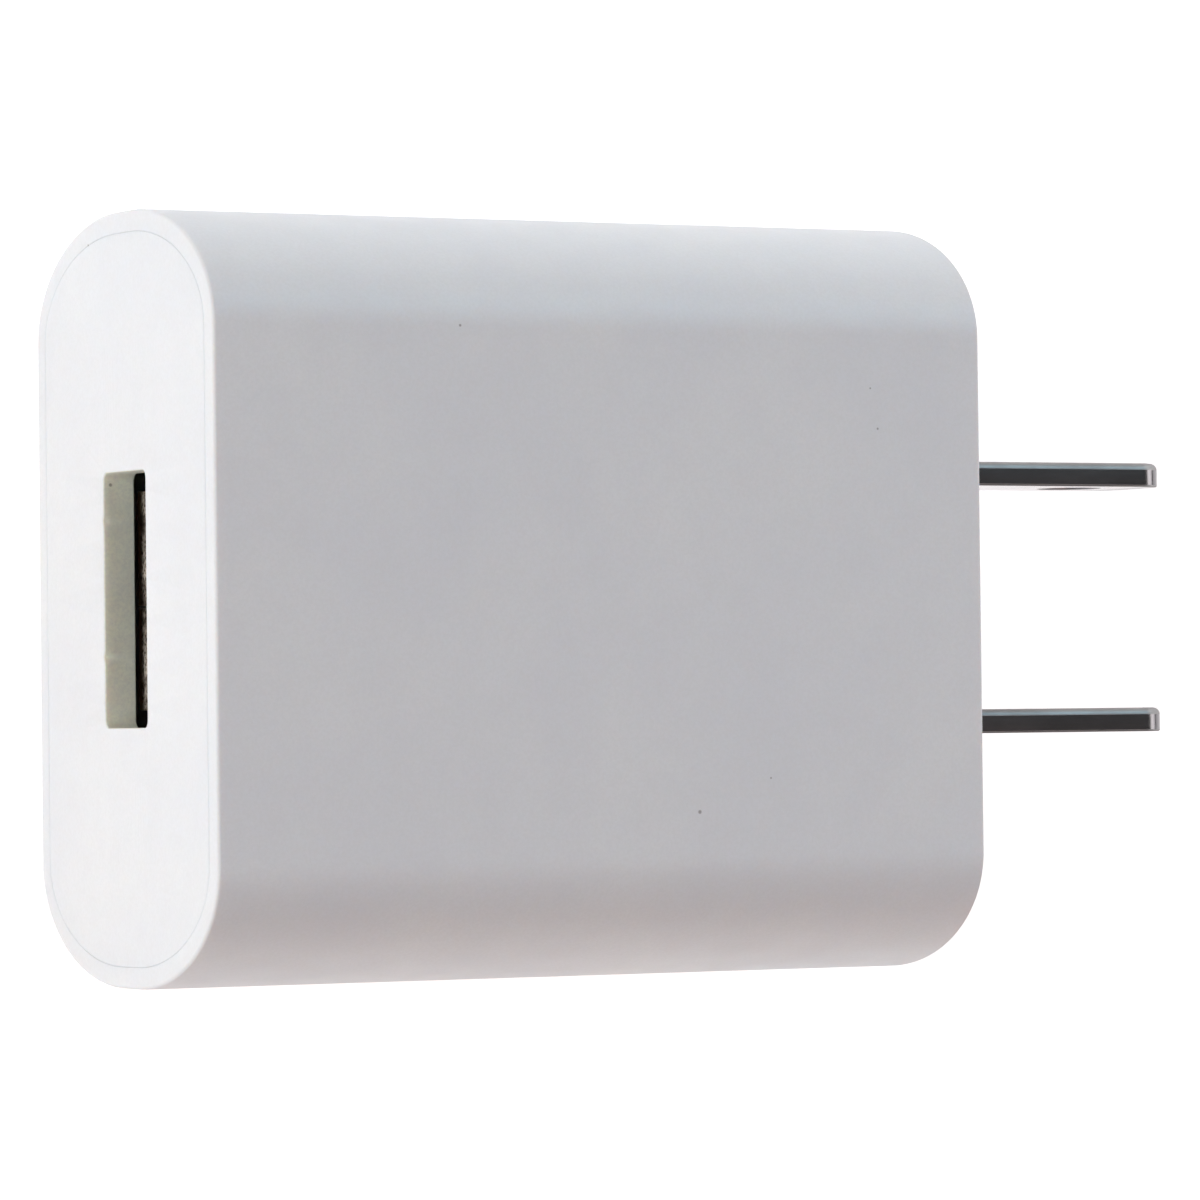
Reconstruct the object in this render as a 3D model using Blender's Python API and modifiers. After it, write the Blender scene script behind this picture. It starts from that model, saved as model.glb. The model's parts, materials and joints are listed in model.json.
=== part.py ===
"""A USB wall charger: a pill-shaped plastic housing with two flat mains blades at the back, a
USB-A socket in an inset front cap, and the power supply's circuit board inside.

Frame: the origin is the centre of the face that meets the wall outlet. +Y points into the wall,
along the blades. X runs along the housing's wide side, from blade to blade. +Z is up, and the
charger can also lie on a table on its flat lower side.

Every length here is in millimetres. The helpers scale them to Blender's metres.
"""

import math

import bmesh
import bpy
from mathutils import Matrix, Vector

MM = 0.001
WELD = 1e-6
GAP = 0.1  # between pieces that fit into each other

# Housing
WIDTH, HEIGHT, LENGTH = 37.6, 21.0, 42.0
CORNER_X, CORNER_Z = 6.0, 9.6  # half axes of the elliptical corners
CORNER_STEPS = 14
WALL, REAR_WALL, RIM = 1.9, 2.0, 1.05
EDGE_ROUNDING = 0.25
FRONT = -LENGTH

# Front cap
CAP_THICKNESS, CAP_SKIRT, CAP_SKIRT_WALL = 1.5, 3.0, 1.2
CAP_BACK = FRONT + CAP_THICKNESS
PORT_WIDTH, PORT_HEIGHT, PORT_CORNER = 12.4, 5.0, 0.4

# Mains blades, on the 12.7 mm spacing of a flat two-blade outlet
BLADE_SPACING, BLADE_THICKNESS, BLADE_WIDTH, BLADE_LENGTH = 12.7, 1.4, 6.35, 16.0
BLADE_TIP_CORNER, BLADE_HOLE_AT, BLADE_HOLE_RADIUS = 1.7, 11.8, 1.6
BLADE_ROOT, TAIL_END, TAIL_WIDTH = -3.6, -5.6, 3.0
BLADE_FIT = 0.06
BOSS_DEPTH = 1.3

# Circuit board
BOARD_TOP, BOARD_THICKNESS, BOARD_HALF_WIDTH = -3.0, 1.2, 16.0
BOARD_BOTTOM = BOARD_TOP - BOARD_THICKNESS
BOARD_FRONT, BOARD_REAR = -37.0, -4.3
RAIL_REACH, RAIL_THICKNESS = 15.2, 1.0
LEAD_RADIUS, LEAD_HOLE_RADIUS, LEAD_END = 0.3, 0.5, BOARD_BOTTOM - 1.4
SEAT = BOARD_TOP + GAP

# USB-A socket
SHEET = 0.3
SOCKET_WIDTH, SOCKET_HEIGHT, SOCKET_CORNER = 12.5, 5.12, 0.4
SOCKET_FRONT, SOCKET_REAR = CAP_BACK + 0.7, -26.3
LIP_DEPTH, LIP_FLARE = 0.6, 0.5
LIP_WIDTH, LIP_SIDE_WIDTH = 10.7, 3.6
SEAM, SEAM_X = 0.12, 0.3
WINDOW_FRONT, WINDOW_REAR, WINDOW_WIDTH, WINDOW_X = -37.6, -30.6, 2.7, 3.0
TONGUE_WIDTH, TONGUE_TOP, TONGUE_BOTTOM = 11.1, 1.86, 0.02
TONGUE_FRONT, BLOCK_FRONT, BLOCK_REAR = SOCKET_FRONT + 0.7, -29.6, -26.4
CONTACT_X = (-3.5, -1.0, 1.0, 3.5)
CONTACT_NAMES = ("power", "data_minus", "data_plus", "ground")
CONTACT_PIVOT = (-30.2, 0.75)  # y and z of the springs' bending roots
CONTACT_THICKNESS, SPRING_WIDTH, LEG_WIDTH, GROOVE_WIDTH = 0.2, 1.0, 0.8, 1.3
GROOVE_TOP, LEG_Y = 1.35, -27.1
SHELL_TAB_Y, PLUG_SPRING_WIDTH = -32.5, 1.9

# Transformer, two E-shaped ferrite halves around a wound bobbin
CORE_X, CORE_Y, CORE_Z, CORE_HALF_LENGTH = 6.5, -18.6, 2.2, 6.0
CORE_HALF_HEIGHT, CORE_BACK, CORE_LEG, CORE_CENTRE = 3.07, 1.4, 1.4, 1.37
PIN_Y = (CORE_Y - 5.6, CORE_Y + 5.6)
PIN_X = (-3.75, -1.25, 1.25, 3.75)

# Where each through-hole part's leads pass the board, as (x, y)
BULK_CAPACITORS = {"bulk_capacitor_left": -11.4, "bulk_capacitor_right": 11.4}
BULK_RADIUS, BULK_LENGTH, BULK_REAR = 4.0, 11.2, -7.4
BULK_FRONT = BULK_REAR - BULK_LENGTH
BULK_LEAD_Y, BULK_PITCH, OUTPUT_PITCH = BULK_FRONT - 1.1, (-1.75, 1.75), (-1.25, 1.25)
# Each standing can as (x, y, radius, length)
OUTPUT_CAPACITORS = {
    "output_capacitor_large": (11.4, -32.8, 3.15, 10.2),
    "output_capacitor_small": (11.4, -26.4, 2.5, 9.0),
}

COLOURS = {
    "white_plastic": ((0.86, 0.86, 0.85), 0.45, 0.0),
    "nickel": ((0.72, 0.70, 0.67), 0.28, 1.0),
    "board_green": ((0.03, 0.16, 0.07), 0.45, 0.0),
    "black_plastic": ((0.015, 0.015, 0.016), 0.4, 0.0),
    "contact_gold": ((0.83, 0.62, 0.30), 0.25, 1.0),
    "can_sleeve": ((0.03, 0.04, 0.09), 0.35, 0.0),
    "ferrite": ((0.055, 0.055, 0.06), 0.6, 0.0),
    "tape_yellow": ((0.85, 0.62, 0.08), 0.4, 0.0),
    "bobbin_black": ((0.02, 0.02, 0.022), 0.5, 0.0),
    "ceramic_blue": ((0.04, 0.19, 0.42), 0.45, 0.0),
    "resistor_tan": ((0.52, 0.42, 0.28), 0.55, 0.0),
    "lead_red": ((0.42, 0.02, 0.02), 0.45, 0.0),
    "lead_black": ((0.02, 0.02, 0.02), 0.45, 0.0),
    "insulation_film": ((0.72, 0.72, 0.66), 0.35, 0.0),
    "choke_green": ((0.06, 0.22, 0.10), 0.45, 0.0),
    "white_chip": ((0.62, 0.60, 0.56), 0.5, 0.0),
}


# ---------------------------------------------------------------- scene and materials


def clear_scene():
    for obj in list(bpy.data.objects):
        bpy.data.objects.remove(obj, do_unlink=True)


def new_collection(name):
    collection = bpy.data.collections.new(name)
    bpy.context.scene.collection.children.link(collection)
    return collection


def make_materials():
    made = {}
    for name, (colour, roughness, metallic) in COLOURS.items():
        made[name] = bpy.data.materials.new(name)
        made[name].use_nodes = True
        shader = made[name].node_tree.nodes["Principled BSDF"]
        shader.inputs["Base Color"].default_value = (*colour, 1.0)
        shader.inputs["Roughness"].default_value = roughness
        shader.inputs["Metallic"].default_value = metallic
    return made


def paint(obj, material):
    obj.data.materials.clear()
    obj.data.materials.append(MATERIALS[material])
    return obj


def smooth(obj, angle=35):
    obj.data.shade_smooth()
    obj.data.set_sharp_from_angle(angle=math.radians(angle))
    return obj


# ---------------------------------------------------------------- shapes


def from_bmesh(name, bm):
    """A mesh object from a bmesh in millimetres."""
    bmesh.ops.scale(bm, vec=(MM, MM, MM), verts=bm.verts)
    mesh = bpy.data.meshes.new(name)
    bm.to_mesh(mesh)
    bm.free()
    obj = bpy.data.objects.new(name, mesh)
    PARTS.objects.link(obj)
    return obj


def block(name, x, y, z):
    """A block between two values on each axis, with its origin at its centre."""
    bm = bmesh.new()
    bmesh.ops.create_cube(bm, size=1)
    bmesh.ops.scale(bm, vec=[high - low for low, high in (x, y, z)], verts=bm.verts)
    obj = from_bmesh(name, bm)
    obj.location = [(high + low) / 2 * MM for low, high in (x, y, z)]
    return obj


def cylinder(name, centre, radius, length, axis="Z", sides=24):
    """A cylinder centred on a point, with its origin there."""
    bm = bmesh.new()
    bmesh.ops.create_cone(bm, cap_ends=True, segments=sides, radius1=radius, radius2=radius, depth=length)
    obj = smooth(from_bmesh(name, bm))
    obj.location = Vector(centre) * MM
    if axis == "Y":
        obj.rotation_euler.x = math.radians(90)
    elif axis == "X":
        obj.rotation_euler.y = math.radians(90)
    return obj


def as_mesh(curve_object):
    """The mesh of a curve object, with its caps welded to its sides. It takes the curve's place."""
    bpy.context.view_layer.update()
    evaluated = curve_object.evaluated_get(bpy.context.evaluated_depsgraph_get())
    mesh = bpy.data.meshes.new_from_object(evaluated)
    bm = bmesh.new()
    bm.from_mesh(mesh)
    bmesh.ops.remove_doubles(bm, verts=bm.verts, dist=WELD)
    bmesh.ops.recalc_face_normals(bm, faces=bm.faces)
    bm.to_mesh(mesh)
    bm.free()
    name, matrix = curve_object.name, curve_object.matrix_world.copy()
    bpy.data.objects.remove(curve_object)
    obj = bpy.data.objects.new(name, mesh)
    obj.matrix_world = matrix
    PARTS.objects.link(obj)
    return obj


def prism(name, outlines, axis, start, end):
    """Flat closed outlines, the second and later ones being holes, pushed out along an axis.
    Their points are (x, z) for axis Y, (y, z) for axis X and (x, y) for axis Z."""
    curve = bpy.data.curves.new(name, "CURVE")
    curve.dimensions = "2D"
    curve.fill_mode = "BOTH"
    curve.extrude = (end - start) / 2 * MM
    for outline in outlines:
        spline = curve.splines.new("POLY")
        spline.points.add(len(outline) - 1)
        for point, (u, v) in zip(spline.points, outline):
            point.co = (u * MM, v * MM, 0, 1)
        spline.use_cyclic_u = True
    obj = bpy.data.objects.new(name, curve)
    PARTS.objects.link(obj)
    middle = (start + end) / 2 * MM
    if axis == "Y":
        obj.matrix_world = Matrix.Translation((0, middle, 0)) @ Matrix.Rotation(math.radians(90), 4, "X")
    elif axis == "X":
        turn = Matrix(((0, 0, 1), (1, 0, 0), (0, 1, 0))).to_4x4()
        obj.matrix_world = Matrix.Translation((middle, 0, 0)) @ turn
    else:
        obj.location.z = middle
    return as_mesh(obj)


def tube(name, points, radius):
    """A six-sided wire through points."""
    curve = bpy.data.curves.new(name, "CURVE")
    curve.dimensions = "3D"
    curve.bevel_depth = radius * MM
    curve.bevel_resolution = 1
    curve.use_fill_caps = True
    spline = curve.splines.new("POLY")
    spline.points.add(len(points) - 1)
    for point, place in zip(spline.points, points):
        point.co = (*(Vector(place) * MM), 1)
    obj = bpy.data.objects.new(name, curve)
    PARTS.objects.link(obj)
    return as_mesh(obj)


def arc(centre, radii, start, end, steps):
    """Points on an ellipse's arc, between two angles in degrees."""
    points = []
    for step in range(steps + 1):
        angle = math.radians(start + (end - start) * step / steps)
        points.append((centre[0] + radii[0] * math.cos(angle), centre[1] + radii[1] * math.sin(angle)))
    return points


def rounded_outline(width, height, radii, steps):
    """A rectangle about the origin whose corners are quarter ellipses."""
    x, z = width / 2 - radii[0], height / 2 - radii[1]
    corners = ((x, z), (-x, z), (-x, -z), (x, -z))
    points = []
    for turn, corner in enumerate(corners):
        points += arc(corner, radii, 90 * turn, 90 * turn + 90, steps)
    return points


def housing_outline(inset):
    """The housing's cross-section, moved in from its outer surface."""
    radii = (CORNER_X - inset, CORNER_Z - inset)
    return rounded_outline(WIDTH - 2 * inset, HEIGHT - 2 * inset, radii, CORNER_STEPS)


def strip_outline(path, thickness):
    """The outline of a bent strip of sheet metal, seen from its edge, along a path."""
    points = [Vector(p) for p in path]
    sides = ([], [])
    for i, point in enumerate(points):
        before = (point - points[i - 1]).normalized() if i else None
        after = (points[i + 1] - point).normalized() if i + 1 < len(points) else None
        along = ((before or after) + (after or before)).normalized()
        across = Vector((-along.y, along.x))
        stretch = 1 / max(0.5, along.dot(after or before))
        sides[0].append(point + across * thickness / 2 * stretch)
        sides[1].append(point - across * thickness / 2 * stretch)
    return [tuple(p) for p in sides[0] + sides[1][::-1]]


# ---------------------------------------------------------------- joining and cutting


def as_helper(obj):
    PARTS.objects.unlink(obj)
    HELPERS.objects.link(obj)
    obj.hide_render = True
    obj.display_type = "WIRE"
    return obj


def combine(target, tool, operation):
    modifier = target.modifiers.new(tool.name, "BOOLEAN")
    modifier.operation = operation
    modifier.object = as_helper(tool)
    return target


def join(target, *tools):
    for tool in tools:
        combine(target, tool, "UNION")
    return target


def cut(target, *tools):
    for tool in tools:
        combine(target, tool, "DIFFERENCE")
    return target


def merged(name, pieces):
    """One helper mesh that holds several separate shapes."""
    bm = bmesh.new()
    bpy.context.view_layer.update()
    for piece in pieces:
        mesh = piece.data.copy()
        mesh.transform(piece.matrix_world)
        bm.from_mesh(mesh)
        bpy.data.objects.remove(piece)
    mesh = bpy.data.meshes.new(name)
    bm.to_mesh(mesh)
    bm.free()
    obj = bpy.data.objects.new(name, mesh)
    PARTS.objects.link(obj)
    return obj


def round_edges(obj, width, segments=2, angle=50):
    modifier = obj.modifiers.new("rounded edges", "BEVEL")
    modifier.width = width * MM
    modifier.segments = segments
    modifier.limit_method = "ANGLE"
    modifier.angle_limit = math.radians(angle)
    return obj


def move_origin(obj, place):
    """Puts an object's origin at a point and leaves its mesh where it is."""
    bpy.context.view_layer.update()
    target = Matrix.Translation(Vector(place) * MM)
    obj.data.transform(target.inverted() @ obj.matrix_world)
    obj.matrix_world = target
    return obj


# ---------------------------------------------------------------- housing


def blade_x():
    return (-BLADE_SPACING / 2, BLADE_SPACING / 2)


def make_housing_shell():
    """The sleeve and its rear wall in one moulding, with rails for the board and bosses at the blades."""
    shell = round_edges(prism("housing_shell", [housing_outline(0)], "Y", FRONT, 0), EDGE_ROUNDING, 3)
    cut(shell, prism("cavity", [housing_outline(WALL)], "Y", FRONT - 1, -REAR_WALL))
    fittings = []
    for side in (-1, 1):
        for low in (BOARD_TOP + GAP, BOARD_BOTTOM - GAP - RAIL_THICKNESS):
            x = sorted((side * RAIL_REACH, side * (WIDTH / 2 - WALL + 0.6)))
            z = (low, low + RAIL_THICKNESS)
            fittings.append(block("rail", x, (BOARD_FRONT + 0.5, -REAR_WALL + 0.5), z))
    for x in blade_x():
        y = (-REAR_WALL - BOSS_DEPTH, -REAR_WALL + 0.5)
        z = (-BLADE_WIDTH / 2 - 0.9, BLADE_WIDTH / 2 + 0.9)
        fittings.append(block("boss", (x - 2.0, x + 2.0), y, z))
    join(shell, *fittings)
    cut(shell, prism("rebate", [housing_outline(RIM)], "Y", FRONT - 1, CAP_BACK + GAP))
    for x in blade_x():
        half, tall = BLADE_THICKNESS / 2 + BLADE_FIT, BLADE_WIDTH / 2 + BLADE_FIT
        cut(shell, block("blade_slot", (x - half, x + half), (-6, 1), (-tall, tall)))
    paint(smooth(shell), "white_plastic")


def make_front_cap():
    """The inset front plate with the port, its skirt inside the sleeve and a collar round the socket."""
    cap = prism("front_cap", [housing_outline(RIM + GAP)], "Y", FRONT, CAP_BACK)
    round_edges(cap, 0.12, 2)
    skirt = [housing_outline(WALL + GAP), housing_outline(WALL + GAP + CAP_SKIRT_WALL)]
    collar = [rounded_outline(16.6, 9.2, (1.2, 1.2), 4), rounded_outline(15.0, 7.6, (0.7, 0.7), 4)]
    join(
        cap,
        prism("skirt", skirt, "Y", CAP_BACK - 0.3, CAP_BACK + CAP_SKIRT),
        prism("collar", collar, "Y", CAP_BACK - 0.3, CAP_BACK + 2.0),
    )
    port = rounded_outline(PORT_WIDTH, PORT_HEIGHT, (PORT_CORNER, PORT_CORNER), 4)
    cut(cap, prism("port", [port], "Y", FRONT - 1, CAP_BACK + 1))
    paint(smooth(cap), "white_plastic")


def blade_outline():
    """A blade's broad face in (y, z): the round-cornered tip, the full width through the wall, and
    the narrow tail that the mains lead is soldered to."""
    half, tail = BLADE_WIDTH / 2, TAIL_WIDTH / 2
    centre_y, centre_z = BLADE_LENGTH - BLADE_TIP_CORNER, half - BLADE_TIP_CORNER
    radii = (BLADE_TIP_CORNER, BLADE_TIP_CORNER)
    upper = arc((centre_y, centre_z), radii, 0, 90, 6)
    upper += [(BLADE_ROOT, half), (BLADE_ROOT, tail), (TAIL_END, tail)]
    lower = [(y, -z) for y, z in upper[::-1]]
    return upper + lower


def make_blades():
    for name, x in zip(("blade_left", "blade_right"), blade_x()):
        half = BLADE_THICKNESS / 2
        hole = arc((BLADE_HOLE_AT, 0), (BLADE_HOLE_RADIUS, BLADE_HOLE_RADIUS), 0, 345, 23)
        eye = arc(((TAIL_END + BLADE_ROOT) / 2, 0), (0.5, 0.5), 0, 324, 9)
        blade = prism(name, [blade_outline(), hole, eye], "X", x - half, x + half)
        paint(smooth(round_edges(blade, 0.28, 2), 40), "nickel")


def make_mains_leads():
    """Short insulated wires from the blades' tails down to the board's rear corners."""
    left, right = blade_x()
    leads = (("mains_lead_left", left, "lead_black"), ("mains_lead_right", right, "lead_red"))
    for name, x, material in leads:
        side = math.copysign(1, x)
        route = [
            (x + side * 1.0, TAIL_END + 1.0, 0.0),
            (x + side * 1.4, TAIL_END + 0.9, 0.0),
            (x + side * 1.8, TAIL_END + 0.4, -0.4),
            (x + side * 2.0, TAIL_END - 0.4, -1.3),
            (x + side * 2.0, TAIL_END - 0.9, -2.4),
            (x + side * 2.0, TAIL_END - 1.0, BOARD_TOP),
            (x + side * 2.0, TAIL_END - 1.0, BOARD_BOTTOM - 0.8),
        ]
        paint(smooth(tube(name, route, 0.55), 60), material)


# ---------------------------------------------------------------- USB-A socket


SHELL_MIDDLE_X, SHELL_MIDDLE_Z = (SOCKET_WIDTH + SHEET) / 2, (SOCKET_HEIGHT + SHEET) / 2
LIP_ROOT = SOCKET_FRONT + LIP_DEPTH
LIP_OVERLAP = 0.4  # how far a lip or spring runs on into the tube that it is joined to


def socket_lips(side):
    """The flared front edges on one broad and one narrow side of the shell."""
    rest, flared = side * SHELL_MIDDLE_Z, side * (SHELL_MIDDLE_Z + LIP_FLARE)
    path = [(LIP_ROOT + LIP_OVERLAP, rest), (LIP_ROOT, rest), (SOCKET_FRONT, flared)]
    over = strip_outline(path, SHEET * 0.96)
    rest, flared = side * SHELL_MIDDLE_X, side * (SHELL_MIDDLE_X + LIP_FLARE)
    path = [(rest, LIP_ROOT + LIP_OVERLAP), (rest, LIP_ROOT), (flared, SOCKET_FRONT)]
    beside = strip_outline(path, SHEET * 0.96)
    return (
        prism("lip", [over], "X", -LIP_WIDTH / 2, LIP_WIDTH / 2),
        prism("side_lip", [beside], "Z", -LIP_SIDE_WIDTH / 2, LIP_SIDE_WIDTH / 2),
    )


def plug_springs(side):
    """The two bent fingers in the windows of one broad side, which grip a plug's shell."""
    path = [
        (WINDOW_REAR + LIP_OVERLAP, side * SHELL_MIDDLE_Z),
        (WINDOW_REAR - 0.3, side * SHELL_MIDDLE_Z),
        (WINDOW_FRONT + 1.8, side * (SHELL_MIDDLE_Z - 0.4)),
        (WINDOW_FRONT + 0.5, side * (SHELL_MIDDLE_Z - 0.05)),
    ]
    outline = [strip_outline(path, SHEET * 0.8)]
    half = PLUG_SPRING_WIDTH / 2
    return [prism("plug_spring", outline, "X", x - half, x + half) for x in (-WINDOW_X, WINDOW_X)]


def shell_leg(side):
    x = sorted((side * (SHELL_MIDDLE_X - 0.11), side * (SHELL_MIDDLE_X + 0.11)))
    return block("leg", x, (SHELL_TAB_Y - 1, SHELL_TAB_Y + 1), (BOARD_BOTTOM - 1.5, -1.0))


def make_socket_shell():
    """The folded sheet-metal shell: flared lips, a seam underneath, four plug springs and two legs."""
    width, height, corner = SOCKET_WIDTH + 2 * SHEET, SOCKET_HEIGHT + 2 * SHEET, SOCKET_CORNER + SHEET
    outer = rounded_outline(width, height, (corner, corner), 4)
    inner = rounded_outline(SOCKET_WIDTH, SOCKET_HEIGHT, (SOCKET_CORNER, SOCKET_CORNER), 4)
    shell = prism("usb_shell", [outer, inner], "Y", LIP_ROOT - GAP, SOCKET_REAR)
    for x in (-WINDOW_X, WINDOW_X):
        window_x = (x - WINDOW_WIDTH / 2, x + WINDOW_WIDTH / 2)
        cut(shell, block("window", window_x, (WINDOW_FRONT, WINDOW_REAR), (-4, 4)))
    for side in (-1, 1):
        join(shell, *socket_lips(side), *plug_springs(side), shell_leg(side))
    seam_x = (SEAM_X - SEAM / 2, SEAM_X + SEAM / 2)
    cut(shell, block("seam", seam_x, (SOCKET_FRONT - 1, SOCKET_REAR + 1), (-4, -2)))
    cut(shell, block("leg_notch", (-4.6, 4.6), (LEG_Y - 0.8, SOCKET_REAR + 1), (-4, -2)))
    paint(smooth(shell), "nickel")


def make_socket_insulator():
    """The moulded block that closes the socket's back, with the tongue that carries the contacts."""
    half_x, half_z = SOCKET_WIDTH / 2 - GAP, SOCKET_HEIGHT / 2 - GAP
    insulator = block("usb_insulator", (-half_x, half_x), (BLOCK_FRONT, BLOCK_REAR), (-half_z, half_z))
    round_edges(insulator, 0.3, 1)
    tongue_x = (-TONGUE_WIDTH / 2, TONGUE_WIDTH / 2)
    tongue = block("tongue", tongue_x, (TONGUE_FRONT, BLOCK_FRONT + 0.5), (TONGUE_BOTTOM, TONGUE_TOP))
    join(insulator, round_edges(tongue, 0.25, 1))
    for x in CONTACT_X:
        groove = (x - GROOVE_WIDTH / 2, x + GROOVE_WIDTH / 2)
        cut(insulator, block("groove", groove, (TONGUE_FRONT + 0.5, BLOCK_FRONT + 0.4), (-1, GROOVE_TOP)))
        cut(insulator, block("slot", groove, (BLOCK_FRONT - 0.3, BLOCK_REAR + 1), (-4, GROOVE_TOP)))
    paint(insulator, "black_plastic")


def make_contacts():
    """Each contact is a fixed leg and the spring that a plug presses back into the tongue."""
    pivot_y, pivot_z = CONTACT_PIVOT
    leg_path = [
        (pivot_y + 0.1, pivot_z),
        (LEG_Y - 0.5, pivot_z),
        (LEG_Y - 0.15, pivot_z - 0.15),
        (LEG_Y, pivot_z - 0.5),
        (LEG_Y, BOARD_BOTTOM - 1.5),
    ]
    spring_path = [
        (pivot_y, pivot_z),
        (pivot_y - 2.3, pivot_z - 0.2),
        (pivot_y - 5.2, pivot_z - 0.95),
        (pivot_y - 5.9, pivot_z - 1.14),
        (pivot_y - 6.4, pivot_z - 1.2),
        (pivot_y - 6.9, pivot_z - 1.1),
        (pivot_y - 8.1, pivot_z - 0.45),
    ]
    for name, x in zip(CONTACT_NAMES, CONTACT_X):
        half = LEG_WIDTH / 2
        outline = [strip_outline(leg_path, CONTACT_THICKNESS)]
        leg = prism(f"usb_contact_leg_{name}", outline, "X", x - half, x + half)
        half = SPRING_WIDTH / 2
        outline = [strip_outline(spring_path, CONTACT_THICKNESS)]
        spring = prism(f"usb_contact_spring_{name}", outline, "X", x - half, x + half)
        move_origin(spring, (x, pivot_y, pivot_z))
        for obj in (leg, spring):
            paint(smooth(obj), "contact_gold")


# ---------------------------------------------------------------- circuit board


def lead_places():
    """(x, y, hole radius) of every lead that passes through the board."""
    places = [(x, y) for y in PIN_Y for x in PIN_X]
    places += [(x + dx, BULK_LEAD_Y) for x in BULK_CAPACITORS.values() for dx in BULK_PITCH]
    places += [(x + dx, y) for x, y, _, _ in OUTPUT_CAPACITORS.values() for dx in OUTPUT_PITCH]
    places += FUSE_LEADS + CHOKE_LEADS + DIODE_LEADS + REGULATOR_LEADS + OPTO_LEADS + Y_CAPACITOR_LEADS
    holes = [(x, y, LEAD_HOLE_RADIUS) for x, y in places]
    holes += [(x, LEG_Y, 0.6) for x in CONTACT_X]
    holes += [(math.copysign(abs(x) + 2.0, x), TAIL_END - 1.0, 0.75) for x in blade_x()]
    return holes


def make_board():
    board = block(
        "circuit_board",
        (-BOARD_HALF_WIDTH, BOARD_HALF_WIDTH),
        (BOARD_FRONT, BOARD_REAR),
        (BOARD_BOTTOM, BOARD_TOP),
    )
    drills = [
        cylinder("drill", (x, y, (BOARD_TOP + BOARD_BOTTOM) / 2), radius, 4, sides=8)
        for x, y, radius in lead_places()
    ]
    for side in (-1, 1):
        x = side * (SOCKET_WIDTH + SHEET) / 2
        y = (SHELL_TAB_Y - 1.2, SHELL_TAB_Y + 1.2)
        drills.append(block("leg_slot", (x - 0.35, x + 0.35), y, (BOARD_BOTTOM - 1, BOARD_TOP + 1)))
    cut(board, merged("drills", drills))
    paint(board, "board_green")


def make_insulation_sheet():
    """The film between the solder side and the housing."""
    floor = -HEIGHT / 2 + WALL + GAP
    y = (BOARD_FRONT + 1.5, BOARD_REAR - 1.5)
    sheet = block("insulation_sheet", (-11.5, 11.5), y, (floor, floor + 0.25))
    paint(sheet, "insulation_film")


def straight_lead(x, y, top):
    return cylinder("lead", (x, y, (top + LEAD_END) / 2), LEAD_RADIUS, top - LEAD_END, sides=6)


def bent_lead(points):
    return tube("lead", points, LEAD_RADIUS)


def can_profile(radius, length):
    """A capacitor can's outer line as (radius, height): a rolled groove near the lead end."""
    return [
        (0, length),
        (radius - 0.35, length),
        (radius - 0.1, length - 0.1),
        (radius, length - 0.35),
        (radius, 2.0),
        (radius - 0.3, 1.7),
        (radius - 0.3, 1.3),
        (radius, 1.0),
        (radius, 0.3),
        (radius - 0.3, 0),
        (0, 0),
    ]


def turned(name, profile, steps=24):
    """A profile of (radius, height) spun about Z with a Screw modifier, made into a mesh."""
    mesh = bpy.data.meshes.new(name)
    edges = [(i, i + 1) for i in range(len(profile) - 1)]
    mesh.from_pydata([(r * MM, 0, h * MM) for r, h in profile], edges, [])
    obj = bpy.data.objects.new(name, mesh)
    PARTS.objects.link(obj)
    screw = obj.modifiers.new("turned", "SCREW")
    screw.axis = "Z"
    screw.steps = screw.render_steps = steps
    screw.use_merge_vertices = True
    screw.merge_threshold = WELD
    return as_mesh(obj)


def make_bulk_capacitors():
    """The two mains-side electrolytics, lying on the board beside the transformer."""
    for name, x in BULK_CAPACITORS.items():
        can = turned(name, can_profile(BULK_RADIUS, BULK_LENGTH))
        z = SEAT + BULK_RADIUS
        place = Matrix.Translation(Vector((x, BULK_FRONT, z)) * MM)
        can.matrix_world = place @ Matrix.Rotation(math.radians(-90), 4, "X")
        for dx in BULK_PITCH:
            route = [(BULK_FRONT + 1, z), (BULK_LEAD_Y + 0.3, z), (BULK_LEAD_Y, z - 0.3)]
            route.append((BULK_LEAD_Y, LEAD_END))
            join(can, bent_lead([(x + dx, *point) for point in route]))
        paint(smooth(can), "can_sleeve")


def make_output_capacitors():
    """The two low-voltage electrolytics, standing beside the socket."""
    for name, (x, y, radius, length) in OUTPUT_CAPACITORS.items():
        can = turned(name, can_profile(radius, length))
        can.location = Vector((x, y, SEAT)) * MM
        join(can, *(straight_lead(x + dx, y, SEAT + 1) for dx in OUTPUT_PITCH))
        paint(smooth(can), "can_sleeve")


FUSE_LEADS = [(-4.9, -10.6), (4.9, -10.6)]
CHOKE_LEADS = [(1.6, -6.8), (4.2, -6.8)]
DIODE_LEADS = [(-11.4, -36.0), (-11.4, -28.4)]
REGULATOR_LEADS = [(-12.67, -26.6), (-11.4, -26.6), (-10.13, -26.6)]
OPTO_LEADS = [(-12.67, -24.8), (-10.13, -24.8), (-12.67, -21.1), (-10.13, -21.1)]
Y_CAPACITOR_LEADS = [(8.9, -21.9), (13.9, -21.9)]


def axial_part(name, ends, radius, length, along, material):
    """A round body lying on the board, whose leads bend down at both ends."""
    (x0, y0), (x1, y1) = ends
    z = SEAT + radius
    body = cylinder(name, ((x0 + x1) / 2, (y0 + y1) / 2, z), radius, length, along, 18)
    round_edges(body, min(0.5, radius / 3), 2)
    inward = Vector((x1 - x0, y1 - y0, 0)).normalized()
    for place, direction in (((x0, y0), inward), ((x1, y1), -inward)):
        corner = Vector((*place, z))
        bend = (corner + direction * 0.4, corner - Vector((0, 0, 0.4)))
        join(body, bent_lead([corner + direction * 2.4, *bend, (*place, LEAD_END)]))
    paint(smooth(body), material)


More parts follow.
